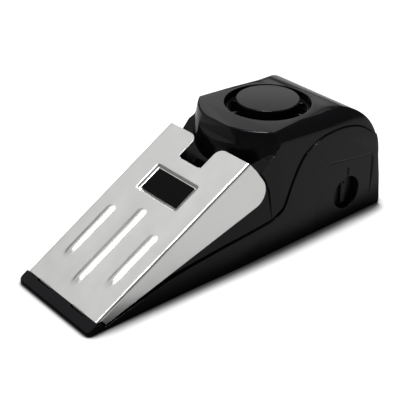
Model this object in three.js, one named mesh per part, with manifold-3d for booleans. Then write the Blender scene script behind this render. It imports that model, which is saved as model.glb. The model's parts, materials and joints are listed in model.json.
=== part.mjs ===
// Door stop alarm: a wedge whose hinged metal plate is pressed by a door to sound a siren.
// Millimetres. X runs from the nose to the siren end, Z is up, the dial is on the -Y side.
import * as THREE from "three";
import { mergeVertices } from "three/addons/utils/BufferGeometryUtils.js";
import Module from "manifold-3d";

const wasm = await Module();
wasm.setup();

// Clearances and cut overrun
const touchGap = 0.3;
const slideGap = 0.4;
const overrun = 60;
const arcSteps = 6;
const backSteps = 16;
const roundSides = 48;
const smallSides = 20;
const leadSides = 8;

// Casing outline
const length = 145;
const halfWidth = 24;
const noseHalfWidth = 22;
const midHalfWidth = 22.6;
const floorHalfWidth = 23.4;
const waistX = 48;
const fullWidthLength = 55;
const widestZ = 16;
const roofHalfWidth = 23.8;
const roofZ = 50.4;
const footHeight = 0.3;
const noseFaceTop = 1.86;
const rearLean = 3.3;
const rearToeZ = 1.5;
const backRadius = 26.6;
const noseCornerRadius = 1.5;
const cornerRadius = 1.2;
const roofEdgeRadius = 3.2;
const rearEdgeRadius = 8;
const rearEdgeFade = 1.5;
const roofEdgeRise = 12;
const cheekStep = 0.6;
const foldRadius = 0.5;
const wall = 1.8;
const roofWall = 2;
const floorTop = 2.4;
const cavityFrontX = 17;
const cavityFrontHalf = 18.4;
const cavityTaper = 12;
const cavityMidHalf = 19.8;

// Ramp under the plate and the shoulders beside the tower
const rampFootX = 4.3;
const rampFootZ = 3;
const rampTopZ = 36.13;
const shoulderFrontReach = 25;
const shoulderCrestReach = 20.2;
const shoulderCrestZ = 41.2;
const shoulderBackReach = 17.1;
const shoulderBackZ = 42.3;
const shoulderWallReach = 15.4;
const shoulderWallZ = 45.2;
const shoulderTopReach = 14;
const shoulderRadius = 2;

// Tower round the siren
const sirenFromRear = 43;
const towerRoofRadius = 26.8;
const towerFootRadius = 28.6;
const towerFootZ = 40;
const towerBottomZ = 30;
const towerEdgeRadius = 1;
const sirenOpening = 16.8;

// Parting groove between the shells, as shares of the length and of the roof height
const grooveShares = [
  [0.132, 0.133], [0.345, 0.22], [0.527, 0.278], [0.583, 0.304], [0.607, 0.337],
  [0.622, 0.389], [0.64, 0.516], [0.658, 0.621], [0.677, 0.708], [0.7, 0.77],
  [0.752, 0.835], [0.824, 0.845], [0.873, 0.819], [0.91, 0.774], [0.96, 0.673], [1.02, 0.585],
];
const grooveSteps = 34;
const grooveWidth = 0.6;
const grooveDepth = 0.45;
const grooveFrontX = 13;
const grooveFrontZ = 6.1;

// Strike plate, in its own frame: s up the slope, n square to the face
const plateX = 4.06;
const plateZ = 4.15;
const plateLift = THREE.MathUtils.degToRad(4.97);
const platePress = THREE.MathUtils.degToRad(3);
const towerRoom = 1.084;
const plateFrontHalf = 21.45;
const plateRearHalf = 22.5;
const sheet = 0.8;
const bendRadius = 1.1;
const flangeLean = THREE.MathUtils.degToRad(3.5);
const flangeFrontS = 1.9;
const flangeFrontDrop = 3.7;
const flangeRearReach = 1.9;
const flangeRearDrop = 19.6;
const flangeBackReach = 0.9;
const flangeBackDrop = 5;
const flangeCornerRadius = 6.6;
const notchWidth = 12;
const notchDepth = 10.57;
const notchMouthRadius = 3.5;
const tongueHalfWidth = 5;
const tongueDrop = 8.5;
const tabInnerY = 7;
const tabOuterY = 14;
const tabReach = 0.5;
const tabDrop = 2.5;
const ribWidth = 3.4;
const ribHeight = 0.6;
const ribBevel = 0.6;
const ribRoundShare = 0.42;
const ribSide = 12.8;
const ribFrontS = 4.4;
const ribLabelRoom = 5.5;
const sideRibFrontS = 11.1;
const sideRibShort = 6;
const labelRearReach = 18;
const labelLength = 10.8;
const labelRightY = -10.75;
const labelLeftY = 10.05;
const labelDepth = 1.1;
const labelSheet = 0.3;
const pocketBackX = 36;
const recessLowShare = 0.7;
const recessHighShare = 0.6;
const recessReach = 18;

// Dial panel on the right side, switch panel on the left side
const panelLength = 31.5;
const panelFromRear = 6.5;
const panelFrontZ = 23;
const panelCrestRun = 5.5;
const panelCrestZ = 28.4;
const panelRearZ = 24.7;
const panelRadius = 4;
const panelDepth = 0.55;
const dialFromRear = 20.4;
const dialZ = 12.3;
const wellRadius = 6.8;
const wellDepth = 4.9;
const bossRadius = 8.4;
const bossDepth = 6.3;
const dialRadius = 6.2;
const dialFaceDepth = 2.6;
const dialHub = 1.5;
const dialDiscThick = 1;
const dialBarWidth = 2.6;
const dialBarShare = 0.86;
const pointerShare = 0.62;
const pointerRadius = 0.5;
const pointerDepth = 0.4;
const indexZ = 20.3;
const indexHeight = 3.2;
const indexWidth = 0.9;
const indexRise = 0.35;
const switchFromRear = 23;
const switchZ = 13;
const switchPanelLength = 21;
const switchPanelHeight = 10.4;
const switchPanelRadius = 2;
const switchPanelDepth = 1.2;
const switchPadDepth = 3.2;
const switchTravel = 4;
const sliderNeckLength = 4.6;
const sliderNeckHeight = 2.4;
const sliderKnobLength = 6;
const sliderKnobHeight = 5;
const sliderFaceDepth = 0.1;

// Underside: battery door, grip pads, screws
const doorFrontRoom = 4.6;
const doorLength = 56.4;
const doorSideRoom = 1.4;
const doorTabY = 9;
const doorTabWidth = 5;
const doorTabReach = 2.3;
const doorTabThick = 1.2;
const doorRiser = 1.6;
const doorGripReach = 6.4;
const doorGripCount = 4;
const doorGripPitch = 1.5;
const doorGripWidth = 12;
const doorGripDepth = 0.5;
const padThick = 1.2;
const padInset = 7;
const frontPadFrontX = 7;
const frontPadRearX = 25;
const rearPadLength = 24;
const rearPadFromRear = 17;
const padCorner = 2;
const frontScrewX = 33;
const frontScrewInset = 8;
const rearScrewFromRear = 12;
const rearScrewInset = 9.6;
const screwPostRadius = 3;
const screwHeadRadius = 2.4;
const screwHeadHeight = 1.6;
const screwHeadZ = 1.2;
const screwShank = 1.05;
const frontBossTop = 8;
const rearBossTop = 12;
const frontScrewTop = 11;
const rearScrewTop = 18;
const driverSlot = 0.6;
const crossShare = 0.75;

// Battery and trigger
const batteryBodyLength = 45.7;
const batteryWidth = 26.4;
const batteryHeight = 17.4;
const batteryZ = 2.7;
const batteryCorner = 1.6;
const terminalY = 6.35;
const terminalReach = 2.8;
const plusRadius = 2.9;
const minusRadius = 3.7;
const minusSides = 6;
const snapThick = 1.6;
const ribFrontReach = 10.4;
const ribLength = 36;
const ribSideRoom = 1.7;
const ribThick = 1.5;
const triggerBoardFrontReach = 7.3;
const triggerBoardLength = 15;
const triggerBoardThick = 1;
const triggerBoardZ = 20.5;
const triggerLead = 0.85;
const triggerSwitchSize = 5.8;
const triggerSwitchHeight = 1.5;
const plungerLength = 7.2;
const plungerWidth = 11.2;
const plungerThick = 1.8;
const plungerCorner = 1;
const plungerTopZ = 29.4;
const pegLength = 0.8;
const pegRadius = 1.3;
const collarWall = 1.3;
const collarBottomZ = 25.6;
const springRadius = 2.1;
const springWire = 0.28;
const springTurns = 3;
const springTurnSteps = 8;

// Sounder
const grilleDiscRadius = 12.3;
const grilleDiscTop = 52.06;
const grilleDiscBottom = 47.2;
const grilleEdge = 0.5;
const grilleSpokes = 8;
const grilleSpokeWidth = 1;
const grilleSpokeTop = 47.9;
const grilleRingOuter = 16.7;
const grilleRingInner = 15.3;
const grilleRingTop = 47.6;
const grilleSeatZ = 46.6;
const hornBottomZ = 34.5;
const hornFloorThick = 1.2;
const hornThroatRadius = 12;
const hornInnerRadius = 16.4;
const hornOuterRadius = 18.6;
const hornLedgeRadius = 14.8;
const hornLedgeThick = 1.5;
const hornRimRadius = 18.8;
const hornRimDrop = 0.95;
const hornRimThick = 1.5;
const hornMouthRadius = 17.1;
const piezoRadius = 15.6;
const piezoThick = 0.5;
const ceramicRadius = 11;
const ceramicThick = 0.4;

// Circuit board and what stands on it
const boardLength = 27.6;
const boardFromRear = 15.4;
const boardRoom = 4;
const boardInset = 6.6;
const boardZ = 7;
const boardThick = 1.4;
const standoffRadius = 2.4;
const standoffRun = 3.4;
const standoffInset = 3.4;
const standoffRearY = 8;
const trimmerWidth = 9.4;
const trimmerDepth = 4.8;
const trimmerHeight = 7.8;
const trimmerInset = 6.8;
const chipRun = 10;
const chipY = 1;
const chipLength = 9.6;
const chipWidth = 6.2;
const chipHeight = 2.8;
const coilRun = 20;
const coilY = 3.2;
const coilRadius = 4.4;
const coilCore = 2.6;
const coilHeight = 6.4;
const coilFlange = 1;
const capRun = 9;
const capInset = 7.6;
const capRadius = 3.1;
const capHeight = 8;
const smallCapRun = 15.4;
const smallCapInset = 9;
const smallCapRadius = 2;
const smallCapHeight = 5.4;
const sensorRun = 9.5;
const sensorRoom = 0.9;
const sensorRadius = 2.1;
const sensorLength = 9.6;
const resistorRuns = [5, 18.5];
const resistorY = -4.4;
const resistorLength = 5.6;
const resistorRadius = 1.1;
const bodyDepth = 5.6;
const bodyLength = 13.4;
const bodyHeight = 7.4;
const bodyInset = 5.8;
const leadRadius = 0.7;
const signalRadius = 0.5;
const signalY = 4;
const leadReach = 1.2;
const leadSteps = 10;

// Shape helpers
const vector = (x, y) => new THREE.Vector2(x, y);

// A run of corners [x, y, radius, steps] as outline points, each round corner as an arc.
function rounded(corners) {
  const points = [];
  corners.forEach(([x, y, radius = 0, steps = arcSteps], index) => {
    const corner = vector(x, y);
    if (radius === 0) {
      points.push(corner);
      return;
    }
    const [beforeX, beforeY] = corners[(index + corners.length - 1) % corners.length];
    const [afterX, afterY] = corners[(index + 1) % corners.length];
    const back = vector(beforeX - x, beforeY - y).normalize();
    const ahead = vector(afterX - x, afterY - y).normalize();
    const half = Math.acos(THREE.MathUtils.clamp(back.dot(ahead), -1, 1)) / 2;
    const bisector = back.clone().add(ahead).normalize();
    const centre = corner.clone().addScaledVector(bisector, radius / Math.sin(half));
    const start = corner.clone().addScaledVector(back, radius / Math.tan(half)).sub(centre);
    const end = corner.clone().addScaledVector(ahead, radius / Math.tan(half)).sub(centre);
    const sweep = Math.atan2(start.cross(end), start.dot(end));
    for (let step = 0; step <= steps; step += 1) {
      points.push(start.clone().rotateAround(vector(0, 0), sweep * step / steps).add(centre));
    }
  });
  return points;
}

function solid(geometry) {
  const bare = geometry.clone();
  bare.deleteAttribute("normal");
  bare.deleteAttribute("uv");
  const merged = mergeVertices(bare, length * 1e-7);
  const kept = [];
  const index = merged.index.array;
  for (let i = 0; i < index.length; i += 3) {
    const [a, b, c] = [index[i], index[i + 1], index[i + 2]];
    if (a !== b && b !== c && c !== a) kept.push(a, b, c);
  }
  const vertProperties = new Float32Array(merged.attributes.position.array);
  const triVerts = new Uint32Array(kept);
  return new wasm.Manifold(new wasm.Mesh({ numProp: 3, vertProperties, triVerts }));
}

function surface(body) {
  const mesh = body.getMesh();
  const geometry = new THREE.BufferGeometry();
  geometry.setAttribute("position", new THREE.BufferAttribute(mesh.vertProperties, 3));
  geometry.setIndex(new THREE.BufferAttribute(mesh.triVerts, 1));
  geometry.computeVertexNormals();
  return geometry;
}

const joined = (bodies) => bodies.reduce((sum, body) => sum.add(body));

function extruded(points, depth) {
  return new THREE.ExtrudeGeometry(new THREE.Shape(points), { depth, bevelEnabled: false });
}

// An outline in X and Z, swept along Y.
function prismY(points, from, to) {
  return solid(extruded(points, to - from).rotateX(Math.PI / 2).translate(0, to, 0));
}

// An outline in X and Y, swept along Z.
function prismZ(points, from, to) {
  return solid(extruded(points, to - from).translate(0, 0, from));
}

const alongX = new THREE.Matrix4().makeBasis(
  new THREE.Vector3(0, 1, 0), new THREE.Vector3(0, 0, 1), new THREE.Vector3(1, 0, 0));

// An outline in Y and Z, swept along X.
function prismX(points, from, to) {
  return solid(extruded(points, to - from).applyMatrix4(alongX).translate(from, 0, 0));
}

function box(x0, x1, y0, y1, z0, z1) {
  const geometry = new THREE.BoxGeometry(x1 - x0, y1 - y0, z1 - z0);
  return solid(geometry.translate((x0 + x1) / 2, (y0 + y1) / 2, (z0 + z1) / 2));
}

// A round bar along Z.
function rodZ(x, y, z0, z1, radius, sides = smallSides) {
  const geometry = new THREE.CylinderGeometry(radius, radius, z1 - z0, sides).rotateX(Math.PI / 2);
  return solid(geometry.translate(x, y, (z0 + z1) / 2));
}

// A round bar along Y.
function rodY(x, z, y0, y1, radius, sides = smallSides) {
  const geometry = new THREE.CylinderGeometry(radius, radius, y1 - y0, sides);
  return solid(geometry.translate(x, (y0 + y1) / 2, z));
}

// A round bar along X.
function rodX(y, z, x0, x1, radius, sides = smallSides) {
  const geometry = new THREE.CylinderGeometry(radius, radius, x1 - x0, sides).rotateZ(Math.PI / 2);
  return solid(geometry.translate((x0 + x1) / 2, y, z));
}

// A turned shape: corners [radius, height, rounding] that close on themselves, about (x, y).
function turned(x, corners, sides = roundSides, y = 0) {
  const points = rounded(corners);
  points.push(points[0].clone());
  return solid(new THREE.LatheGeometry(points, sides).rotateX(Math.PI / 2).translate(x, y, 0));
}

const whole = new THREE.Group();
whole.position.x = -length / 2;

function addPiece(name, body, look, group = whole) {
  const mesh = new THREE.Mesh(surface(body), look());
  mesh.name = name;
  group.add(mesh);
}

const plastic = (color, roughness) => () => new THREE.MeshStandardMaterial({ color, roughness });
const metal = (color, roughness) => () => new THREE.MeshStandardMaterial({ color, roughness, metalness: 1 });
const blackShell = plastic(0x1c1c1e, 0.35);
const darkPlastic = plastic(0x151516, 0.5);
const plateSteel = metal(0xd4d4d2, 0.32);
const screwSteel = metal(0x8d8f92, 0.4);
const brass = metal(0xc9a24a, 0.35);
const rubber = plastic(0x202020, 0.9);

// Places on the casing
const wellFloorY = halfWidth - wellDepth;
const bossInnerY = halfWidth - bossDepth;
const dialFaceY = halfWidth - dialFaceDepth;
const trimmerFaceY = halfWidth - trimmerInset;
const bodyFaceY = halfWidth - bodyInset;
const boardHalfWidth = halfWidth - boardInset;
const standoffY = boardHalfWidth - standoffInset;
const sensorY = bodyFaceY - bodyDepth - sensorRoom - sensorRadius;
const padHalfWidth = halfWidth - padInset;
const doorHalfWidth = batteryWidth / 2 + doorSideRoom;
const ribInnerY = batteryWidth / 2 + ribSideRoom;
const ribOuterY = ribInnerY + ribThick;
const fullWidthX = length - fullWidthLength;
const cavityMidX = fullWidthX - cavityTaper;
const sirenX = length - sirenFromRear;
const shoulderFrontX = sirenX - shoulderFrontReach;
const rampRise = Math.atan2(rampTopZ - rampFootZ, shoulderFrontX - rampFootX);
const rampZ = (x) => rampFootZ + (x - rampFootX) * Math.tan(rampRise);
const rampWall = wall / Math.cos(rampRise);
const panelRearX = length - panelFromRear;
const panelFrontX = panelRearX - panelLength;
const dialX = length - dialFromRear;
const switchX = length - switchFromRear;
const rearScrewX = length - rearScrewFromRear;
const rearPadRearX = length - rearPadFromRear;

// Places on the plate and under its tongue
const platePitch = rampRise + plateLift;
const plateLength = (sirenX - towerFootRadius - towerRoom - plateX) / Math.cos(platePitch);
const flangeRearS = plateLength + flangeRearReach;
const flangeBackS = plateLength + flangeBackReach;
const notchFrontS = plateLength - notchDepth;
const labelRearS = plateLength - labelRearReach;
const labelFrontS = labelRearS - labelLength;
const ribRearS = labelFrontS - ribLabelRoom;
const triggerX = slopePoint(notchFrontS - sheet / 2, -tongueDrop)[0] + triggerLead;
const triggerBoardFrontX = triggerX - triggerBoardFrontReach;

const plateGroup = new THREE.Group();
plateGroup.position.set(plateX, 0, plateZ);
plateGroup.rotation.y = -platePitch;
whole.add(plateGroup);

// Places of the board and of the battery in front of it
const boardRearX = length - boardFromRear;
const boardFrontX = boardRearX - boardLength;
const standoffX = boardFrontX + standoffRun;
const snapRearX = boardFrontX - boardRoom;
const snapFrontX = snapRearX - snapThick;
const batteryRearX = snapFrontX - touchGap - terminalReach;
const batteryFrontX = batteryRearX - batteryBodyLength;
const doorFrontX = batteryFrontX - doorFrontRoom;
const doorRearX = doorFrontX + doorLength;
const ribFrontX = batteryFrontX + ribFrontReach;

// The parting line, moved square to itself by a shift.
function grooveLine(shift) {
  const knots = grooveShares.map(([along, up]) => vector(along * length, up * roofZ));
  const curve = new THREE.SplineCurve(knots);
  return Array.from({ length: grooveSteps + 1 }, (_, step) => {
    const tangent = curve.getTangent(step / grooveSteps);
    return curve.getPoint(step / grooveSteps).add(vector(-tangent.y, tangent.x).multiplyScalar(shift));
  });
}

// The side view of the casing, or of its hollow, which lies one wall inside.
function sideOutline(inside) {
  const skin = inside ? wall : 0;
  const top = roofZ - (inside ? roofWall : 0);
  const front = inside
    ? [[cavityFrontX, floorTop], [cavityFrontX, rampZ(cavityFrontX) - rampWall]]
    : [[0, footHeight, foldRadius], [0, noseFaceTop, foldRadius], [rampFootX - slideGap, plateZ],
      [rampFootX, rampFootZ]];
  const shoulder = [
    [shoulderFrontX, rampZ(shoulderFrontX), shoulderRadius],
    [sirenX - shoulderCrestReach, shoulderCrestZ, shoulderRadius],
    [sirenX - shoulderBackReach, shoulderBackZ, shoulderRadius],
    [sirenX - shoulderWallReach, shoulderWallZ],
    [sirenX - shoulderTopReach, roofZ],
  ].map(([x, z, radius]) => [x + skin, z - roofZ + top, radius]);
  const rear = [
    [length - rearLean - skin, top, backRadius - skin, backSteps],
    [length - rearLean - skin, top - backRadius + skin],
    [length - skin, rearToeZ + skin],
    [length - skin, inside ? floorTop : footHeight, inside ? 0 : foldRadius],
  ];
  return rounded([...front, ...shoulder, ...rear].reverse());
}

function planOutline(inside, skin = 0, step = 0) {
  const inset = skin + step;
  const half = inside
    ? [[cavityFrontX, cavityFrontHalf - step], [cavityMidX, cavityMidHalf - step],
      [fullWidthX, halfWidth - wall - step], [length - wall, halfWidth - wall - step]]
    : [[skin, noseHalfWidth - inset, noseCornerRadius - skin], [waistX, midHalfWidth - inset],
      [fullWidthX, halfWidth - inset], [length - skin, halfWidth - inset, cornerRadius - skin]];
  const left = half.map(([x, y, radius]) => [x, -y, radius]);
  return rounded([...left, ...half.reverse()]);
}

function sectionOutline(inside, step) {
  const skin = inside ? wall : 0;
  const top = roofZ - (inside ? roofWall : 0);
  const half = [
    [floorHalfWidth - skin - step, inside ? floorTop : footHeight, inside ? 0 : foldRadius],
    [halfWidth - skin - step, widestZ],
    [roofHalfWidth - skin - step, top, roofEdgeRadius - skin],
  ];
  const left = half.map(([y, z, radius]) => [-y, z, radius]).reverse();
  return rounded([...half, ...left]);
}

// The round front half of the tower.
function towerBody(inside) {
  const skin = inside ? wall : 0;
  const top = roofZ - (inside ? roofWall : 0);
  return turned(sirenX, [
    [0, towerBottomZ],
    [towerFootRadius - skin, towerBottomZ],
    [towerFootRadius - skin, towerFootZ],
    [towerRoofRadius - skin, top, towerEdgeRadius],
    [0, top],
  ]).intersect(box(0, sirenX, -overrun, overrun, 0, roofZ + overrun));
}

// A block that rounds the long edges of the rear, fading out towards the tower and the floor.
function softBlock(inside, step) {
  const skin = inside ? wall : 0;
  const top = roofZ - (inside ? roofWall : 0);
  const edge = rearEdgeRadius - skin;
  const rearX = length - rearLean - skin;
  const outline = rounded([
    [-overrun, -overrun], [length + edge, -overrun], [length + edge, rearToeZ],
    [rearX + rearEdgeFade, top, backRadius - skin, backSteps], [rearX - backRadius, top],
    [-overrun, top + roofEdgeRise],
  ]);
  const half = halfWidth - skin - step - edge;
  const bevel = { bevelThickness: edge, bevelSize: edge, bevelOffset: -edge, bevelSegments: arcSteps };
  const block = new THREE.ExtrudeGeometry(new THREE.Shape(outline), { depth: 2 * half, ...bevel });
  return solid(block.rotateX(Math.PI / 2).translate(0, half, 0));
}

// The outside or the hollow, with its sides drawn in by a step.
function casingBody(inside, step = 0) {
  const trim = prismZ(planOutline(inside, 0, step), -overrun, overrun)
    .intersect(prismX(sectionOutline(inside, step), -overrun, length + overrun))
    .intersect(softBlock(inside, step));
  const side = prismY(sideOutline(inside), -overrun, overrun);
  return side.add(towerBody(inside)).intersect(trim);
}

// Everything above the parting line, moved square to itself by a shift.
function aboveGroove(shift) {
  const front = [
    vector(grooveFrontX + shift, roofZ + overrun),
    vector(grooveFrontX + shift, grooveFrontZ + shift),
  ];
  const outline = [...front, ...grooveLine(shift), vector(length + overrun, roofZ + overrun)];
  return prismY(outline, -overrun, overrun);
}

// The shallow channel that runs round the outside along the parting line.
function grooveCut() {
  const band = [...grooveLine(-grooveWidth / 2), ...grooveLine(grooveWidth / 2).reverse()];
  return prismY(band, -overrun, overrun)
    .subtract(prismZ(planOutline(false, grooveDepth), -overrun, overrun));
}

// Strike plate
const plateFrame = new THREE.Matrix4().makeTranslation(plateX, 0, plateZ)
  .multiply(new THREE.Matrix4().makeRotationY(-platePitch));

// A point of the plate's side view in the casing's X and Z, with the plate pressed by an angle.
function slopePoint(s, n, press = 0) {
  const pitch = platePitch - press;
  return [
    plateX + s * Math.cos(pitch) - n * Math.sin(pitch),
    plateZ + s * Math.sin(pitch) + n * Math.cos(pitch),
  ];
}

// A section across the plate: flat on top with leaning sides.
function channelOutline(inset, top, radius) {
  const half = plateFrontHalf - inset;
  const foot = half + overrun * Math.tan(flangeLean);
  return rounded([
    [foot, -overrun], [half, top, radius], [-half, top, radius], [-foot, -overrun],
  ]);
}

// That section swept up the slope and widened towards the rear as the plate is.
function channel(points) {
  const geometry = extruded(points, plateLength + 2 * overrun).applyMatrix4(alongX);
  geometry.translate(-overrun, 0, 0);
  const growth = (plateRearHalf / plateFrontHalf - 1) / plateLength;
  const position = geometry.attributes.position;
  for (let i = 0; i < position.count; i += 1) {
    position.setY(i, position.getY(i) * (1 + growth * position.getX(i)));
  }
  return geometry;
}

function plateSideOutline() {
  return rounded([
    [0, sheet], [0, -bendRadius], [flangeFrontS, -bendRadius],
    [flangeFrontS + touchGap, -flangeFrontDrop],
    [flangeRearS, -flangeRearDrop, flangeCornerRadius],
    [flangeBackS, -flangeBackDrop], [plateLength, 0], [plateLength, sheet],
  ]);
}

// The notch in the rear edge, with rounded mouth corners.
function notchCut() {
  const half = notchWidth / 2;
  const wide = half + 2 * notchMouthRadius;
  const side = [
    [notchFrontS, half], [plateLength, half, notchMouthRadius],
    [plateLength, wide], [plateLength + overrun, wide],
  ];
  const mirrored = side.map(([s, y, radius]) => [s, -y, radius]).reverse();
  return prismZ(rounded([...side, ...mirrored]), -overrun / 2, overrun / 2);
}

function rectangle(x0, x1, y0, y1, radius = 0) {
  return rounded([[x0, y0, radius], [x1, y0, radius], [x1, y1, radius], [x0, y1, radius]]);
}

function pressedRib(y, frontS, rearS) {
  const outline = rectangle(frontS, rearS, y - ribWidth / 2, y + ribWidth / 2, ribWidth * ribRoundShare);
  const bevel = { bevelThickness: ribHeight, bevelSize: ribBevel, bevelOffset: -ribBevel, bevelSegments: 3 };
  const geometry = new THREE.ExtrudeGeometry(new THREE.Shape(outline), { depth: touchGap, ...bevel });
  return solid(geometry.translate(0, 0, -touchGap));
}

function labelWell() {
  const rim = sheet;
  return box(labelFrontS - rim, labelRearS + rim, labelRightY - rim, labelLeftY + rim,
    -labelDepth - sheet, -sheet / 2);
}

function strikePlate() {
  const pressed = solid(channel(channelOutline(0, 0, bendRadius)))
    .subtract(solid(channel(channelOutline(sheet, -sheet, bendRadius - sheet))))
    .intersect(prismY(plateSideOutline(), -overrun, overrun))
    .subtract(notchCut());
  const tongue = box(notchFrontS - sheet, notchFrontS, -tongueHalfWidth, tongueHalfWidth,
    -tongueDrop, -sheet / 2);
  const tabs = [-tabOuterY, tabInnerY].map((y) =>
    box(-tabReach, sheet - tabReach, y, y + tabOuterY - tabInnerY, -tabDrop, 0));
  const ribs = [
    pressedRib(0, ribFrontS, ribRearS),
    pressedRib(-ribSide, sideRibFrontS, ribRearS - sideRibShort),
    pressedRib(ribSide, sideRibFrontS, ribRearS - sideRibShort),
  ];
  return joined([pressed, tongue, ...tabs, ...ribs, labelWell()])
    .subtract(box(labelFrontS, labelRearS, labelRightY, labelLeftY, -labelDepth, overrun));
}

function labelPlate() {
  const base = -labelDepth + touchGap;
  return box(labelFrontS + touchGap, labelRearS - touchGap, labelRightY + touchGap,
    labelLeftY - touchGap, base, base + labelSheet);
}

// Room for the plate's flanges beside a narrower core of the casing.
function flangeRoom(outline) {
  const core = channel(channelOutline(sheet + slideGap, 0, 0)).applyMatrix4(plateFrame);
  return prismY(outline.map(([x, z]) => vector(x, z)), -overrun, overrun).subtract(solid(core));
}

// Room in the nose of the base, just below the flanges when they are pressed.
function pocketOutline() {
  const [frontX, frontZ] = slopePoint(flangeFrontS, -flangeFrontDrop - slideGap, platePress);
  const [rearX, rearZ] = slopePoint(flangeRearS, -flangeRearDrop - slideGap, platePress);
  const backZAtPocket = frontZ + (pocketBackX - frontX) * (rearZ - frontZ) / (rearX - frontX);
  return [
    ...flangeFront(), [frontX - slideGap, frontZ], [pocketBackX, backZAtPocket], [pocketBackX, roofZ],
  ];
}

const flangeFront = () => {
  const [x, z] = slopePoint(flangeFrontS - slideGap, 0);
  return [[x, roofZ], [x, z]];
};

// Room above the parting line, from the nose to just behind the flanges at rest and pressed.
function recessOutline() {
  const [frontX] = slopePoint(flangeFrontS - slideGap, 0);
  const top = slopePoint(flangeBackS + 2 * slideGap, -flangeBackDrop);
  return [
    [frontX, roofZ], [frontX, -overrun], [sirenX - recessReach, -overrun], [sirenX - recessReach, widestZ],
    slopePoint(flangeRearS + slideGap, -flangeRearDrop * recessLowShare, platePress),
    slopePoint(flangeRearS + slideGap, -flangeRearDrop * recessHighShare),
    top, [top[0], roofZ],
  ];
}

function tabSlots() {
  return [-tabOuterY, tabInnerY].map((y) => {
    const width = tabOuterY - tabInnerY + 2 * slideGap;
    const geometry = new THREE.BoxGeometry(sheet + 2 * slideGap, width, 2 * (tabDrop + slideGap));
    geometry.translate(sheet / 2 - tabReach, y - slideGap + width / 2, 0);
    return solid(geometry.applyMatrix4(plateFrame));
  });
}

// Base shell
const bothSides = (make) => [make(1), make(-1)];
const band = (side, inner, outer) => (side > 0 ? [inner, outer] : [-outer, -inner]);

function screwPlaces() {
  const front = bothSides((side) => ({
    x: frontScrewX, y: side * (midHalfWidth - frontScrewInset), bossTop: frontBossTop, top: frontScrewTop,
  }));
  const rear = bothSides((side) => ({
    x: rearScrewX, y: side * (halfWidth - rearScrewInset), bossTop: rearBossTop, top: rearScrewTop,
  }));
  return [...front, ...rear];
}

function standoffs() {
  const rearX = boardRearX - standoffRadius;
  const seats = [
    ...bothSides((side) => [standoffX, side * standoffY]),
    ...bothSides((side) => [rearX, side * standoffRearY]),
  ];
  return seats.map(([x, y]) => rodZ(x, y, floorTop - touchGap, boardZ, standoffRadius));
}

function baseInside() {
  const bosses = screwPlaces().map(({ x, y, bossTop }) =>
    rodZ(x, y, floorTop - touchGap, bossTop, screwPostRadius));
  const ribs = bothSides((side) => box(ribFrontX, ribFrontX + ribLength,
    ...band(side, ribInnerY, ribOuterY), floorTop - touchGap, triggerBoardZ));
  const dialBoss = rodY(dialX, dialZ, -halfWidth + wall / 2, -bossInnerY, bossRadius, roundSides);
  const half = switchPanelLength / 2;
  const switchPad = box(switchX - half, switchX + half, halfWidth - switchPadDepth, halfWidth - wall / 2,
    switchZ - switchPanelHeight / 2, switchZ + switchPanelHeight / 2);
  return [...bosses, ...ribs, ...standoffs(), dialBoss, switchPad];
}

function dialCuts() {
  const outline = rounded([
    [panelFrontX, -overrun], [panelRearX, -overrun], [panelRearX, panelRearZ, panelRadius / 2],
    [panelFrontX + panelCrestRun, panelCrestZ, panelRadius], [panelFrontX, panelFrontZ, panelRadius],
  ]);
  return [
    prismY(outline, -overrun, -halfWidth + panelDepth),
    rodY(dialX, dialZ, -overrun, -wellFloorY, wellRadius, roundSides),
    rodY(dialX, dialZ, -overrun, 0, dialHub + slideGap),
  ];
}

function switchCuts() {
  const halfLong = switchPanelLength / 2;
  const halfHigh = switchPanelHeight / 2;
  const panel = rectangle(switchX - halfLong, switchX + halfLong, switchZ - halfHigh,
    switchZ + halfHigh, switchPanelRadius);
  const slotHalf = (sliderNeckLength + switchTravel) / 2 + slideGap;
  const slotHigh = sliderNeckHeight / 2 + slideGap;
  return [
    prismY(panel, halfWidth - switchPanelDepth, overrun),
    box(switchX - slotHalf, switchX + slotHalf, 0, overrun, switchZ - slotHigh, switchZ + slotHigh),
  ];
}

function undersideCuts() {
  const door = box(doorFrontX, doorRearX, -doorHalfWidth, doorHalfWidth, -overrun, floorTop + touchGap);
  const padSpans = [[frontPadFrontX, frontPadRearX], [rearPadRearX - rearPadLength, rearPadRearX]];
  const pads = padSpans.map(([x0, x1]) =>
    prismZ(rectangle(x0, x1, -padHalfWidth, padHalfWidth, padCorner), -overrun, padThick));
  const holes = screwPlaces().flatMap(({ x, y, bossTop }) => [
    rodZ(x, y, -overrun, screwHeadZ + screwHeadHeight + touchGap, screwHeadRadius + touchGap),
    rodZ(x, y, 0, bossTop + touchGap, screwShank + touchGap),
  ]);
  const pilots = bothSides((side) =>
    rodZ(standoffX, side * standoffY, floorTop + touchGap, boardZ + touchGap, screwShank + touchGap));
  return [door, ...pads, ...holes, ...pilots];
}

function indexMark() {
  const floorY = halfWidth - panelDepth;
  return box(dialX - indexWidth / 2, dialX + indexWidth / 2, -floorY - indexRise,
    -floorY + indexRise, indexZ, indexZ + indexHeight);
}

function baseShell() {
  const outer = casingBody(false);
  const walls = outer.subtract(casingBody(true));
  const cuts = [
    aboveGroove(-touchGap / 2), grooveCut(), flangeRoom(pocketOutline()), ...tabSlots(),
    ...dialCuts(), ...switchCuts(), ...undersideCuts(),
  ];
  return joined([walls, ...baseInside()]).intersect(outer).subtract(joined(cuts)).add(indexMark());
}

// Top shell
function collar(inside) {
  const reach = slideGap + (inside ? 0 : collarWall);
  const halfLong = plungerLength / 2 + reach;
  const halfWide = plungerWidth / 2 + reach;
  const outline = rectangle(triggerX - halfLong, triggerX + halfLong, -halfWide, halfWide, plungerCorner);
  return prismZ(outline, inside ? 0 : collarBottomZ, roofZ);
}

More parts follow.
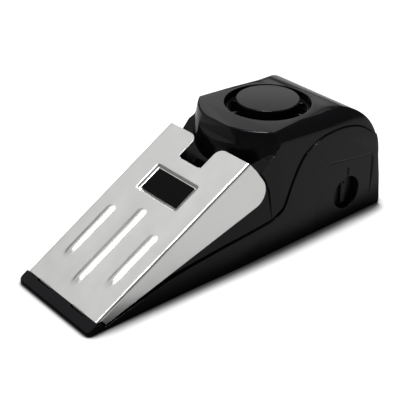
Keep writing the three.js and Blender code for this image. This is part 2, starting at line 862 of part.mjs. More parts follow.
function topShell() {
  const outer = casingBody(false, cheekStep);
  const walls = outer.subtract(casingBody(true, cheekStep)).intersect(aboveGroove(touchGap / 2));
  const posts = screwPlaces().map(({ x, y, bossTop }) =>
    rodZ(x, y, bossTop + touchGap, roofZ, screwPostRadius));
  const pilots = screwPlaces().map(({ x, y, top }) => rodZ(x, y, 0, top + touchGap, screwShank + touchGap));
  const opening = rodZ(sirenX, 0, roofZ - 2 * roofWall, roofZ + overrun, sirenOpening, roundSides);
  return joined([walls, joined([...posts, collar(false)]).intersect(outer)])
    .subtract(joined([grooveCut(), flangeRoom(recessOutline()), collar(true), opening, ...pilots]));
}

// Sounder under the opening
function sirenGrille() {
  const disc = turned(sirenX, [
    [0, grilleDiscBottom], [grilleDiscRadius, grilleDiscBottom],
    [grilleDiscRadius, grilleDiscTop, grilleEdge], [0, grilleDiscTop],
  ]);
  const ring = turned(sirenX, [
    [grilleRingInner, grilleSeatZ], [grilleRingOuter, grilleSeatZ],
    [grilleRingOuter, grilleRingTop], [grilleRingInner, grilleRingTop],
  ]);
  const reach = (grilleRingInner + grilleRingOuter) / 2;
  const spokes = Array.from({ length: grilleSpokes }, (_, index) => {
    const bar = new THREE.BoxGeometry(reach - grilleDiscRadius / 2, grilleSpokeWidth,
      grilleSpokeTop - grilleSeatZ);
    bar.translate((reach + grilleDiscRadius / 2) / 2, 0, (grilleSpokeTop + grilleSeatZ) / 2);
    bar.rotateZ(2 * Math.PI * (index + 0.5) / grilleSpokes);
    return solid(bar.translate(sirenX, 0, 0));
  });
  return joined([disc, ring, ...spokes]);
}

function sirenHorn() {
  const rimTop = roofZ - roofWall - hornRimDrop;
  const ledgeTop = grilleSeatZ - touchGap;
  const ledgeBottom = ledgeTop - hornLedgeThick;
  const floorZ = hornBottomZ + hornFloorThick;
  return turned(sirenX, [
    [hornThroatRadius, hornBottomZ], [hornOuterRadius, hornBottomZ],
    [hornOuterRadius, rimTop - hornRimThick], [hornRimRadius, rimTop - hornRimThick],
    [hornRimRadius, rimTop], [hornMouthRadius, rimTop], [hornMouthRadius, ledgeTop],
    [hornLedgeRadius, ledgeTop], [hornLedgeRadius, ledgeBottom],
    [hornInnerRadius, ledgeBottom - hornInnerRadius + hornLedgeRadius],
    [hornInnerRadius, floorZ], [hornThroatRadius, floorZ],
  ]);
}

const piezoZ = hornBottomZ + hornFloorThick + touchGap;
const boardTop = boardZ + boardThick;

// Circuit board
function circuitBoard() {
  const holes = bothSides((side) => rodZ(standoffX, side * standoffY, 0, roofZ, screwShank + touchGap));
  return box(boardFrontX, boardRearX, -boardHalfWidth, boardHalfWidth, boardZ, boardTop)
    .subtract(joined(holes));
}

function slottedScrew(x, y, z, headRadius, headHeight, tipZ) {
  const down = tipZ < z;
  const shankFrom = down ? tipZ : z;
  const slotZ = down ? z + headHeight - driverSlot : z - driverSlot;
  const slots = [[headRadius, driverSlot / 2], [driverSlot / 2, headRadius]].map(([halfX, halfY]) =>
    box(x - halfX * crossShare, x + halfX * crossShare, y - halfY * crossShare, y + halfY * crossShare,
      slotZ, slotZ + 2 * driverSlot));
  return rodZ(x, y, z, z + headHeight, headRadius)
    .add(rodZ(x, y, shankFrom, down ? z : tipZ, screwShank))
    .subtract(joined(slots));
}

function inductor() {
  const top = boardTop + coilHeight;
  return turned(boardFrontX + coilRun, [
    [0, boardTop], [coilRadius, boardTop], [coilRadius, boardTop + coilFlange],
    [coilCore, boardTop + coilFlange], [coilCore, top - coilFlange],
    [coilRadius, top - coilFlange], [coilRadius, top], [0, top],
  ], smallSides, coilY);
}

// Round lead through points, as a swept many-sided section.
function lead(points, radius, steps) {
  const path = new THREE.CatmullRomCurve3(points.map(([x, y, z]) => new THREE.Vector3(x, y, z)));
  const section = new THREE.Shape(Array.from({ length: leadSides }, (_, side) =>
    vector(radius, 0).rotateAround(vector(0, 0), 2 * Math.PI * side / leadSides)));
  return solid(new THREE.ExtrudeGeometry(section, { steps, extrudePath: path }));
}

function batteryLead(side) {
  return lead([
    [snapRearX + touchGap, side * terminalY, terminalZ],
    [snapRearX + 2 * leadReach, side * terminalY, terminalZ + leadReach],
    [boardFrontX + leadReach, side * (terminalY + leadReach / 2), boardTop + 2 * leadReach],
    [boardFrontX + 1.5 * leadReach, side * (terminalY + leadReach / 2), boardTop + touchGap],
  ], leadRadius, leadSteps);
}

function piezoLead(side) {
  const bow = side * (signalY + leadReach / 2);
  return lead([
    [sirenX + 2 * leadReach, side * signalY, piezoZ - touchGap],
    [sirenX + leadReach, bow, (piezoZ + boardTop) / 2],
    [sirenX + 2 * leadReach, side * signalY, boardTop + touchGap],
  ], signalRadius, leadSteps);
}

// Battery compartment
const terminalZ = batteryZ + batteryHeight / 2;

function battery() {
  const half = batteryWidth / 2;
  const outline = rectangle(-half, half, batteryZ, batteryZ + batteryHeight, batteryCorner);
  return prismX(outline, batteryFrontX, batteryRearX);
}

function batterySnap() {
  const half = batteryWidth / 2 - batteryCorner;
  const outline = rectangle(-half, half, batteryZ + batteryCorner,
    batteryZ + batteryHeight - batteryCorner, 2 * batteryCorner);
  return prismX(outline, snapFrontX, snapRearX);
}

function batteryDoor() {
  const frontX = doorFrontX + slideGap;
  const half = doorHalfWidth - slideGap;
  const panel = box(frontX, doorRearX - slideGap, -half, half, footHeight, floorTop);
  const tabs = bothSides((side) => {
    const y0 = side * doorTabY - doorTabWidth / 2;
    const lower = floorTop + touchGap;
    const tab = box(frontX - doorTabReach, frontX + doorRiser, y0, y0 + doorTabWidth,
      lower, lower + doorTabThick);
    return tab.add(box(frontX, frontX + doorRiser, y0, y0 + doorTabWidth, footHeight, lower + doorTabThick));
  });
  const grips = Array.from({ length: doorGripCount }, (_, index) => {
    const x = doorRearX - doorGripReach + index * doorGripPitch;
    return box(x, x + doorGripPitch / 2, -doorGripWidth / 2, doorGripWidth / 2,
      0, footHeight + doorGripDepth);
  });
  return joined([panel, ...tabs]).subtract(joined(grips));
}

function gripPad(frontX, rearX) {
  const half = padHalfWidth - touchGap;
  const outline = rectangle(frontX + touchGap, rearX - touchGap, -half, half, padCorner - touchGap);
  return prismZ(outline, 0, padThick);
}

// Trigger under the tongue of the plate
const triggerTop = triggerBoardZ + triggerBoardThick;
const springFootZ = triggerTop + triggerSwitchHeight;
const plungerBottomZ = plungerTopZ - plungerThick;

function triggerPlunger() {
  const outline = rectangle(triggerX - plungerLength / 2, triggerX + plungerLength / 2,
    -plungerWidth / 2, plungerWidth / 2, plungerCorner);
  const peg = rodZ(triggerX, 0, plungerBottomZ - pegLength, plungerTopZ - pegLength, pegRadius);
  return prismZ(outline, plungerBottomZ, plungerTopZ).add(peg);
}

function triggerSpring() {
  const bottom = springFootZ + touchGap / 2 + springWire;
  const top = plungerBottomZ - touchGap / 2 - springWire;
  const stepCount = springTurns * springTurnSteps;
  const points = Array.from({ length: stepCount + 1 }, (_, step) => {
    const turn = 2 * Math.PI * step / springTurnSteps;
    const z = bottom + (top - bottom) * step / stepCount;
    return [triggerX + springRadius * Math.cos(turn), springRadius * Math.sin(turn), z];
  });
  return lead(points, springWire, stepCount);
}

// Controls
function sensitivityDial() {
  const discFace = -wellFloorY - touchGap - dialDiscThick;
  const disc = rodY(dialX, dialZ, discFace, -wellFloorY - touchGap, dialRadius, roundSides);
  const bar = box(dialX - dialBarWidth / 2, dialX + dialBarWidth / 2, -dialFaceY, discFace + touchGap,
    dialZ - dialRadius * dialBarShare, dialZ + dialRadius * dialBarShare);
  const stem = rodY(dialX, dialZ, discFace, -trimmerFaceY - touchGap, dialHub);
  const pointer = rodY(dialX, dialZ + dialRadius * pointerShare, -overrun, -dialFaceY + pointerDepth,
    pointerRadius);
  return joined([disc, bar, stem]).subtract(pointer);
}

function powerSlider() {
  const x = switchX - switchTravel / 2;
  const knobInnerY = halfWidth - switchPanelDepth + touchGap;
  const knob = prismY(rectangle(x - sliderKnobLength / 2, x + sliderKnobLength / 2,
    switchZ - sliderKnobHeight / 2, switchZ + sliderKnobHeight / 2, touchGap), knobInnerY,
    halfWidth - sliderFaceDepth);
  const neck = box(x - sliderNeckLength / 2, x + sliderNeckLength / 2, bodyFaceY + touchGap,
    knobInnerY + touchGap, switchZ - sliderNeckHeight / 2, switchZ + sliderNeckHeight / 2);
  return knob.add(neck);
}

addPiece("base_shell", baseShell(), blackShell);
addPiece("top_shell", topShell(), blackShell);
addPiece("strike_plate", strikePlate(), plateSteel, plateGroup);
addPiece("label_plate", labelPlate(), darkPlastic, plateGroup);
addPiece("siren_grille", sirenGrille(), blackShell);
addPiece("siren_horn", sirenHorn(), darkPlastic);
addPiece("piezo_disc", rodZ(sirenX, 0, piezoZ, piezoZ + piezoThick, piezoRadius, roundSides), brass);
addPiece("piezo_ceramic", rodZ(sirenX, 0, piezoZ + piezoThick, piezoZ + piezoThick + ceramicThick,
  ceramicRadius, roundSides), plastic(0xe8e4da, 0.5));
addPiece("circuit_board", circuitBoard(), plastic(0x1f5a36, 0.5));
const chipX = boardFrontX + chipRun;
addPiece("driver_chip", box(chipX - chipLength / 2, chipX + chipLength / 2, chipY - chipWidth / 2,
  chipY + chipWidth / 2, boardTop, boardTop + chipHeight), darkPlastic);
addPiece("boost_coil", inductor(), plastic(0x3a2a20, 0.6));
addPiece("capacitor_large", rodZ(boardFrontX + capRun, capInset - boardHalfWidth, boardTop,
  boardTop + capHeight, capRadius), plastic(0x27304a, 0.4));
addPiece("capacitor_small", rodZ(boardFrontX + smallCapRun, smallCapInset - boardHalfWidth, boardTop,
  boardTop + smallCapHeight, smallCapRadius), plastic(0x27304a, 0.4));
const sensorX = boardFrontX + sensorRun;
addPiece("vibration_sensor", rodX(sensorY, boardTop + sensorRadius + touchGap, sensorX - sensorLength / 2,
  sensorX + sensorLength / 2, sensorRadius), brass);
resistorRuns.forEach((run, index) => {
  const x = boardFrontX + run;
  addPiece(`resistor_${index + 1}`, rodX(resistorY, boardTop + resistorRadius + touchGap, x,
    x + resistorLength, resistorRadius), plastic(0xc9b083, 0.6));
});
addPiece("sensitivity_trimmer", box(dialX - trimmerWidth / 2, dialX + trimmerWidth / 2, -trimmerFaceY,
  -trimmerFaceY + trimmerDepth, boardTop, boardTop + trimmerHeight), plastic(0x2a4a7a, 0.5));
addPiece("power_switch_body", box(switchX - bodyLength / 2, switchX + bodyLength / 2, bodyFaceY - bodyDepth,
  bodyFaceY, boardTop, boardTop + bodyHeight), metal(0xa8aaad, 0.4));
addPiece("sensitivity_dial", sensitivityDial(), darkPlastic);
addPiece("power_slider", powerSlider(), darkPlastic);
addPiece("battery_9v", battery(), plastic(0x3b3d42, 0.4));
addPiece("battery_terminal_positive", rodX(terminalY, terminalZ, batteryRearX, batteryRearX + terminalReach,
  plusRadius), screwSteel);
addPiece("battery_terminal_negative", rodX(-terminalY, terminalZ, batteryRearX, batteryRearX + terminalReach,
  minusRadius, minusSides), screwSteel);
addPiece("battery_snap", batterySnap(), darkPlastic);
addPiece("battery_cover", batteryDoor(), blackShell);
addPiece("trigger_board", box(triggerBoardFrontX, triggerBoardFrontX + triggerBoardLength, -ribOuterY,
  ribOuterY, triggerBoardZ, triggerTop), plastic(0x1f5a36, 0.5));
addPiece("trigger_switch", box(triggerX - triggerSwitchSize / 2, triggerX + triggerSwitchSize / 2,
  -triggerSwitchSize / 2, triggerSwitchSize / 2, triggerTop, springFootZ), darkPlastic);
addPiece("trigger_plunger", triggerPlunger(), darkPlastic);
addPiece("trigger_spring", triggerSpring(), screwSteel);
addPiece("front_grip_pad", gripPad(frontPadFrontX, frontPadRearX), rubber);
addPiece("rear_grip_pad", gripPad(rearPadRearX - rearPadLength, rearPadRearX), rubber);
addPiece("lead_red", batteryLead(1), plastic(0xa81d1d, 0.5));
addPiece("lead_black", batteryLead(-1), plastic(0x1a1a1a, 0.5));
addPiece("piezo_lead_red", piezoLead(1), plastic(0xa81d1d, 0.5));
addPiece("piezo_lead_black", piezoLead(-1), plastic(0x1a1a1a, 0.5));
screwPlaces().forEach(({ x, y, top }, index) => {
  addPiece(`shell_screw_${index + 1}`,
    slottedScrew(x, y, screwHeadZ, screwHeadRadius, screwHeadHeight, top), screwSteel);
});
bothSides((side) => side).forEach((side, index) => {
  addPiece(`board_screw_${index + 1}`, slottedScrew(standoffX, side * standoffY, boardTop,
    screwHeadRadius, screwHeadHeight, floorTop + slideGap * 2), screwSteel);
});

export default whole;
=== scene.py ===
"""Looks of the door stop alarm: strike plate, casing, siren, dial and what is inside, in a white studio."""

import json
import math

import bmesh
import bpy
import numpy as np
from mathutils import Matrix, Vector
from mathutils.bvhtree import BVHTree


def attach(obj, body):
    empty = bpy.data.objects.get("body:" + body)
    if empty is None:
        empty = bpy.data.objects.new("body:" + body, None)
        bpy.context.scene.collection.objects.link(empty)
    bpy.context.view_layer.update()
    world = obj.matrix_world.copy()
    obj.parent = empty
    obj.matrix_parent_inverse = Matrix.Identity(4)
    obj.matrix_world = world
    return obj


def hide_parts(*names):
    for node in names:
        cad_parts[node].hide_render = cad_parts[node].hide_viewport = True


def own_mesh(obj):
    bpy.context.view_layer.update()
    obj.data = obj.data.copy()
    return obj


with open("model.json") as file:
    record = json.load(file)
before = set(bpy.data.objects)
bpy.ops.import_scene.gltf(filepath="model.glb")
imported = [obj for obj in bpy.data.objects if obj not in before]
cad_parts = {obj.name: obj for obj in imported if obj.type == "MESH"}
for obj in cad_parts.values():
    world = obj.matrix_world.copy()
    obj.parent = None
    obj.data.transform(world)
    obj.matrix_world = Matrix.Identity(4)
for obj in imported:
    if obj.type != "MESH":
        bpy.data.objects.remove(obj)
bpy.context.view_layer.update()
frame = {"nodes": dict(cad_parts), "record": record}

MM = 0.001
SLOTS = {part["node"]: part["material_slot"] for part in frame["record"]["subparts"]}
BODY_OF = {node: body for body, nodes in frame["record"]["behaviour"]["bodies"].items() for node in nodes}
COLOURS = {look["slot"]: look["base_color"] for look in frame["record"]["materials"]}

# Camera: places in metres, lens and sensor in millimetres
CAMERA_PLACE = (-0.23036, -0.26867, 0.22175)
CAMERA_TARGET = (-0.00437, 0.0, 0.01947)
CAMERA_LENS = 96.02
CAMERA_SENSOR = 36
CAMERA_NEAREST = 0.01

# From the nose to the middle, in millimetres
HALF_LENGTH = 72.5

# Strike plate in millimetres: s up the slope from the front edge, n square to its face
PLATE_X = 4.06
PLATE_Z = 4.15
PLATE_PITCH = math.radians(29.47)
PLATE_LENGTH = 78.4
PLATE_FRONT_HALF = 21.45
PLATE_REAR_HALF = 22.5
SHEET = 0.8
# Long bends; the share of their turn at the front end
BEND_RADIUS = 1.1
BEND_RUN_OUT = 0.55
# Flanges: corners as (s, n)
FLANGE_LEAN = math.radians(3.5)
FLANGE_FRONT_S = 1.9
FLANGE_FRONT_CORNER = (2.2, -3.7)
FLANGE_LOW_CORNER = (80.3, -19.6)
FLANGE_BACK_CORNER = (79.3, -5.0)
FLANGE_CORNER_RADIUS = 6.6
# Notch with its tongue, and the front tabs
NOTCH_HALF = 6.0
NOTCH_DEPTH = 10.57
NOTCH_MOUTH_RADIUS = 3.5
TONGUE_HALF = 5.0
TONGUE_DROP = 8.5
TAB_INNER = 7.0
TAB_OUTER = 14.0
TAB_REACH = 0.5
TAB_DROP = 2.5
FOLD_RADIUS = 1.0
# Ribs: place across the plate, and where each begins and ends
RIB_WIDTH = 5.0
RIB_HEIGHT = 0.7
RIB_RISE = 5.0
RIB_SIDE = 12.8
RIB_SPANS = {0.0: (4.4, 44.1), RIB_SIDE: (11.1, 38.9), -RIB_SIDE: (11.1, 37.9)}
# Shallow hollows between the ribs
HOLLOW_HALF = 5.6
HOLLOW_S = (4, 46)
HOLLOW_RISE = 9
HOLLOW_DEPTH = 0.14
# Label recess
LABEL_S = (49.6, 60.4)
LABEL_Y = (-10.75, 10.05)
LABEL_DEPTH = 1.0
LABEL_WALL = 1.2
# Rounding of its cut edges, and the turn in degrees from which an edge counts as cut
PLATE_BEVEL = 0.12
PLATE_CREASE = 50
# Its grid: step of the face, and numbers of steps in folds, bends, flanges and round corners
GRID_STEP = 0.36
FOLD_TURNS = 5
FOLD_ROWS = 7
BEND_TURNS = 6
FLANGE_ROWS = 44
FLANGE_ARC = 32
EAR_ARC = 16
# Points nearer than this count as one, in metres; slack of a place on the grid, in millimetres
WELD = 1e-7
SLACK = 1e-9
# Steps of every rounded edge
BEVEL_STEPS = 2


# Mesh helpers
def mesh_object(name, points, quads):
    """A smooth mesh from rows of points (metres) and rows of four corner numbers, whole arrays at once."""
    mesh = bpy.data.meshes.new(name)
    mesh.vertices.add(len(points))
    mesh.vertices.foreach_set("co", np.asarray(points, np.float32).ravel())
    mesh.loops.add(quads.size)
    mesh.loops.foreach_set("vertex_index", quads.astype(np.int32).ravel())
    mesh.polygons.add(len(quads))
    mesh.polygons.foreach_set("loop_start", np.arange(0, quads.size, 4, dtype=np.int32))
    mesh.update(calc_edges=True)
    mesh.shade_smooth()
    obj = bpy.data.objects.new(name, mesh)
    bpy.context.scene.collection.objects.link(obj)
    return obj


def welded(patches, tolerance):
    """Grids of points (rows, columns, 3) joined into one sheet: equal points become one vertex."""
    points = []
    quads = []
    start = 0
    for grid in patches:
        rows, columns = grid.shape[:2]
        number = start + np.arange(rows * columns).reshape(rows, columns)
        corners = [number[:-1, :-1], number[1:, :-1], number[1:, 1:], number[:-1, 1:]]
        quads.append(np.stack(corners, -1).reshape(-1, 4))
        points.append(grid.reshape(-1, 3))
        start += rows * columns
    points = np.concatenate(points)
    quads = np.concatenate(quads)
    keys = np.round(points / tolerance).astype(np.int64)
    _, first, same = np.unique(keys, axis=0, return_index=True, return_inverse=True)
    return points[first], same.reshape(-1)[quads]


def ticks(stops, step):
    """Places from the first stop to the last, with every stop kept and even steps between stops."""
    places = [np.array([stops[0]])]
    for low, high in zip(stops[:-1], stops[1:]):
        count = max(1, round((high - low) / step))
        places.append(np.linspace(low, high, count + 1)[1:])
    return np.concatenate(places)


def span(values, low, high):
    """The values from low to high, both with a little slack."""
    return values[(values > low - SLACK) & (values < high + SLACK)]


def smooth_step(share):
    """0 below 0, 1 above 1, and an S-curve between: 3t squared minus 2t cubed."""
    t = np.clip(share, 0, 1)
    return t * t * (3 - 2 * t)


def fillet(before, corner, after, radius, count):
    """Arc of the radius that rounds a corner of two straight lines, as count + 1 points."""
    before, corner, after = (np.array(point, float) for point in (before, corner, after))
    back = (before - corner) / np.linalg.norm(before - corner)
    ahead = (after - corner) / np.linalg.norm(after - corner)
    half = math.acos(float(back @ ahead)) / 2
    middle = (back + ahead) / np.linalg.norm(back + ahead)
    centre = corner + middle * radius / math.sin(half)
    start = corner + back * radius / math.tan(half) - centre
    end = corner + ahead * radius / math.tan(half) - centre
    sweep = math.atan2(start[0] * end[1] - start[1] * end[0], float(start @ end))
    turn = np.linspace(0, sweep, count + 1)[:, None]
    normal = np.array([-start[1], start[0]])
    return centre + np.cos(turn) * start + np.sin(turn) * normal


def along(line, shares):
    """Points of a broken line at shares of its length."""
    line = np.asarray(line, float)
    lengths = np.concatenate([[0], np.cumsum(np.linalg.norm(np.diff(line, axis=0), axis=1))])
    places = np.asarray(shares) * lengths[-1]
    return np.stack([np.interp(places, lengths, line[:, axis]) for axis in (0, 1)], -1)


def coons(top, bottom, front, rear):
    """Grid between four border lines: the sum of the two straight blends less the blend of the corners."""
    u = np.linalg.norm(np.diff(top, axis=0), axis=1)
    u = np.concatenate([[0], np.cumsum(u)])
    u = (u / u[-1])[:, None, None]
    v = np.linspace(0, 1, len(front))[None, :, None]
    across = (1 - v) * top[:, None] + v * bottom[:, None]
    down = (1 - u) * front[None] + u * rear[None]
    corners = (1 - u) * ((1 - v) * top[0] + v * bottom[0]) + u * ((1 - v) * top[-1] + v * bottom[-1])
    return across + down - corners


# Strike plate
GROWTH = (PLATE_REAR_HALF / PLATE_FRONT_HALF - 1) / PLATE_LENGTH
BEND_TURN = math.pi / 2 - FLANGE_LEAN
BEND_START = PLATE_FRONT_HALF - BEND_RADIUS * math.tan(BEND_TURN / 2)
BEND_DROP = BEND_RADIUS * (1 - math.cos(BEND_TURN))
NOTCH_FRONT = PLATE_LENGTH - NOTCH_DEPTH
BACK_SLOPE = (FLANGE_BACK_CORNER[0] - PLATE_LENGTH) / -FLANGE_BACK_CORNER[1]


def plate_point(s, y, n):
    """Row frame metres of a place on the plate: up the slope, across and square to it."""
    x = PLATE_X + s * math.cos(PLATE_PITCH) - n * math.sin(PLATE_PITCH) - HALF_LENGTH
    z = PLATE_Z + s * math.sin(PLATE_PITCH) + n * math.cos(PLATE_PITCH)
    wide = y * (1 + GROWTH * s)
    return np.stack(np.broadcast_arrays(x, wide, z), -1) * MM


def relief(s, y):
    """Height of a place on the plate's face: pressed ribs, hollows between them and the label recess."""
    height = np.zeros(np.broadcast(s, y).shape)
    for middle, (low, high) in RIB_SPANS.items():
        half = RIB_WIDTH / 2
        beyond = np.maximum(s - (high - half), 0)
        out = np.minimum(np.hypot(beyond, y - middle) / half, 1)
        crown = RIB_HEIGHT * (1 + np.cos(math.pi * out)) / 2
        height = np.maximum(height, crown * smooth_step((s - low) / RIB_RISE))
    for middle in (-RIB_SIDE / 2, RIB_SIDE / 2):
        out = np.minimum(np.abs(y - middle) / HOLLOW_HALF, 1)
        ends = smooth_step((s - HOLLOW_S[0]) / HOLLOW_RISE) * smooth_step((HOLLOW_S[1] - s) / HOLLOW_RISE)
        height = height - HOLLOW_DEPTH * ends * (1 + np.cos(math.pi * out)) / 2
    gap_s = np.maximum(LABEL_S[0] - s, s - LABEL_S[1])
    gap_y = np.maximum(LABEL_Y[0] - y, y - LABEL_Y[1])
    outside = np.hypot(np.maximum(gap_s, 0), np.maximum(gap_y, 0))
    return height - LABEL_DEPTH * (1 - smooth_step(outside / LABEL_WALL))


def face_patch(s, y):
    """A rectangle of the plate's face with its relief."""
    s, y = np.meshgrid(s, y, indexing="ij")
    return plate_point(s, y, relief(s, y))


def fold_patch(y, start, direction, drop):
    """A strip folded down from the face: a quarter turn, then straight to its drop."""
    turn = np.linspace(0, math.pi / 2, FOLD_TURNS + 1)
    straight = np.linspace(FOLD_RADIUS, drop, FOLD_ROWS + 1)[1:]
    s = start + direction * FOLD_RADIUS * np.concatenate([np.sin(turn), np.ones(FOLD_ROWS)])
    n = -np.concatenate([FOLD_RADIUS * (1 - np.cos(turn)), straight])
    return plate_point(s[:, None], y[None, :], n[:, None])


def bend_patch(side, s):
    """The long rounded edge between the face and a flange, which turns less at its front corner."""
    turn = np.linspace(0, BEND_TURN, BEND_TURNS + 1)[None, :]
    turn = turn * np.clip(BEND_RUN_OUT + (1 - BEND_RUN_OUT) * s / FLANGE_FRONT_S, 0, 1)[:, None]
    n = -BEND_RADIUS * (1 - np.cos(turn))
    y = side * (BEND_START + BEND_RADIUS * np.sin(turn))
    stretch = np.clip((s[:, None] - NOTCH_FRONT) / NOTCH_DEPTH, 0, 1)
    return plate_point(s[:, None] - n * BACK_SLOPE * stretch, y, n)


def flange_patch(side, s):
    """The flange below the bend: its lower and rear borders meet at the middle of the round corner."""
    stretch = np.clip((s - NOTCH_FRONT) / NOTCH_DEPTH, 0, 1)
    top = np.stack([s + BEND_DROP * BACK_SLOPE * stretch, np.full_like(s, -BEND_DROP)], -1)
    arc = fillet(FLANGE_FRONT_CORNER, FLANGE_LOW_CORNER, FLANGE_BACK_CORNER, FLANGE_CORNER_RADIUS,
                 FLANGE_ARC)
    shares = (s - s[0]) / (s[-1] - s[0])
    bottom = along([FLANGE_FRONT_CORNER, *arc[:FLANGE_ARC // 2 + 1]], shares)
    down = np.linspace(0, 1, FLANGE_ROWS + 1)
    rear = along([top[-1], FLANGE_BACK_CORNER, *arc[FLANGE_ARC // 2:][::-1]], down)
    front = along([top[0], FLANGE_FRONT_CORNER], down)
    flat = coons(top, bottom, front, rear)
    fall = -flat[..., 1] - BEND_DROP
    y = side * (BEND_START + BEND_RADIUS * math.sin(BEND_TURN) + fall * math.tan(FLANGE_LEAN))
    return plate_point(flat[..., 0], y, flat[..., 1])


def ear_patch(side, s, y):
    """The face beside the notch, from its side to the bend, with the notch's round mouth corner."""
    arc = fillet((NOTCH_FRONT, NOTCH_HALF), (PLATE_LENGTH, NOTCH_HALF), (PLATE_LENGTH, BEND_START),
                 NOTCH_MOUTH_RADIUS, EAR_ARC)
    shares = (s - s[0]) / (s[-1] - s[0])
    inner = along([(NOTCH_FRONT, NOTCH_HALF), *arc[:EAR_ARC // 2 + 1]], shares)
    outer = np.stack([s, np.full_like(s, BEND_START)], -1)
    down = np.linspace(0, 1, len(y))
    front = np.stack([np.full_like(y, NOTCH_FRONT), y], -1)
    rear = along([*arc[EAR_ARC // 2:], (PLATE_LENGTH, BEND_START)], down)
    flat = coons(inner, outer, front, rear)
    return plate_point(flat[..., 0], side * flat[..., 1], np.zeros(flat.shape[:2]))


def strike_plate():
    """The pressed plate: face, ears, bends, flanges, tongue and tabs in one sheet, thickened inwards."""
    fold_s = NOTCH_FRONT - FOLD_RADIUS
    tab_s = FOLD_RADIUS - TAB_REACH
    s_stops = [0, tab_s, FLANGE_FRONT_S, fold_s, NOTCH_FRONT, PLATE_LENGTH]
    half_stops = [0, TONGUE_HALF, NOTCH_HALF, TAB_INNER, TAB_OUTER, BEND_START]
    s = ticks(s_stops, GRID_STEP)
    half = ticks(half_stops, GRID_STEP)
    y = np.concatenate([-half[:0:-1], half])
    main = span(s, tab_s, fold_s)
    front = span(s, 0, tab_s)
    rear = span(s, fold_s, NOTCH_FRONT)
    patches = [face_patch(main, y), face_patch(front, span(y, -TAB_INNER, TAB_INNER))]
    patches.append(fold_patch(span(y, -TONGUE_HALF, TONGUE_HALF), fold_s, 1, TONGUE_DROP))
    for side in (1, -1):
        corner = np.sort(side * span(half, TAB_OUTER, BEND_START))
        shoulder = np.sort(side * span(half, TONGUE_HALF, BEND_START))
        tab = np.sort(side * span(half, TAB_INNER, TAB_OUTER))
        ear_s = span(s, NOTCH_FRONT, PLATE_LENGTH)
        patches.append(face_patch(front, corner))
        patches.append(face_patch(rear, shoulder))
        patches.append(fold_patch(tab, tab_s, -1, TAB_DROP))
        patches.append(ear_patch(side, ear_s, span(half, NOTCH_HALF, BEND_START)))
        patches.append(bend_patch(side, s))
        patches.append(flange_patch(side, span(s, FLANGE_FRONT_S, PLATE_LENGTH)))
    points, quads = welded(patches, WELD)
    obj = mesh_object("plate_sheet", points, quads)
    face_outwards(obj)
    thick = obj.modifiers.new("thickness", "SOLIDIFY")
    thick.thickness = SHEET * MM
    thick.offset = -1
    add_bevel(obj, PLATE_BEVEL, PLATE_CREASE)
    return obj


def face_outwards(obj):
    """All faces of an open sheet turned the same way, with most of them up."""
    shape = bmesh.new()
    shape.from_mesh(obj.data)
    bmesh.ops.recalc_face_normals(shape, faces=shape.faces)
    if sum(face.normal.z * face.calc_area() for face in shape.faces) < 0:
        bmesh.ops.reverse_faces(shape, faces=shape.faces)
    shape.to_mesh(obj.data)
    shape.free()


def add_bevel(obj, width, angle):
    """Rounds the edges that turn by more than the angle in degrees, over a width in millimetres."""
    edge = obj.modifiers.new("edges", "BEVEL")
    edge.width = width * MM
    edge.segments = BEVEL_STEPS
    edge.limit_method = "ANGLE"
    edge.angle_limit = math.radians(angle)
    edge.use_clamp_overlap = False
    edge.harden_normals = True
    return edge


# Pieces that keep the shape of their solid: points nearer than this count as one, in metres
MERGE = 1e-6
FLAT_TURN = math.radians(0.6)
# Rounded edges in millimetres, and the turns in degrees from which an edge is rounded
EDGE_BEVEL = 0.12
WIDEST_BEVEL = 0.5
CREASE = 32
# Pieces with round sides of few faces
ROUND_CREASE = 62
ROUND_PIECES = {"lead_red", "lead_black", "piezo_lead_red", "piezo_lead_black", "trigger_spring"}
# Where edges have the widest bevel: low and high corners in millimetres from the nose
SOFT_EDGES = {"base_shell": [((105, -25, 3), (139.5, -23.3, 29.5)), ((138, -25, 0.2), (139.5, -23, 29.5))]}
# The lower shell's crest over the side panel, in millimetres from the nose
CREST_X = (106, 137.4)
CREST_Z = (23.5, 29.4)
CREST_SKIN_Y = -23.9
CREST_FADE = 10
CREST_RISE = 1.1
# The lower shell's upper edge at the rear, in millimetres from the nose
REAR_LIP_X = 139.6
REAR_LIP_Z = 32.8
REAR_LIP_BACK = 0.15
REAR_LIP_RISE = 0.42
# Seam of the shells: how near and how squarely a face looks at the other shell, and how far it moves there
SEAM_REACH = 0.36
SEAM_FACING = -0.9
SEAM_SHARE = 0.97


def from_nose(place):
    """A place in metres as millimetres from the nose, on the centre line and the floor."""
    x, y, z = (value / MM for value in place)
    return x + HALF_LENGTH, y, z


def inside(place, box):
    """Whether a place lies between the low and the high corner of a box."""
    return all(low <= value <= high for low, value, high in zip(box[0], place, box[1]))


def is_soft(node, edge):
    """Whether both ends of a node's edge lie in its boxes of soft edges."""
    boxes = SOFT_EDGES.get(node, [])
    return all(any(inside(from_nose(end.co), box) for box in boxes) for end in edge.verts)


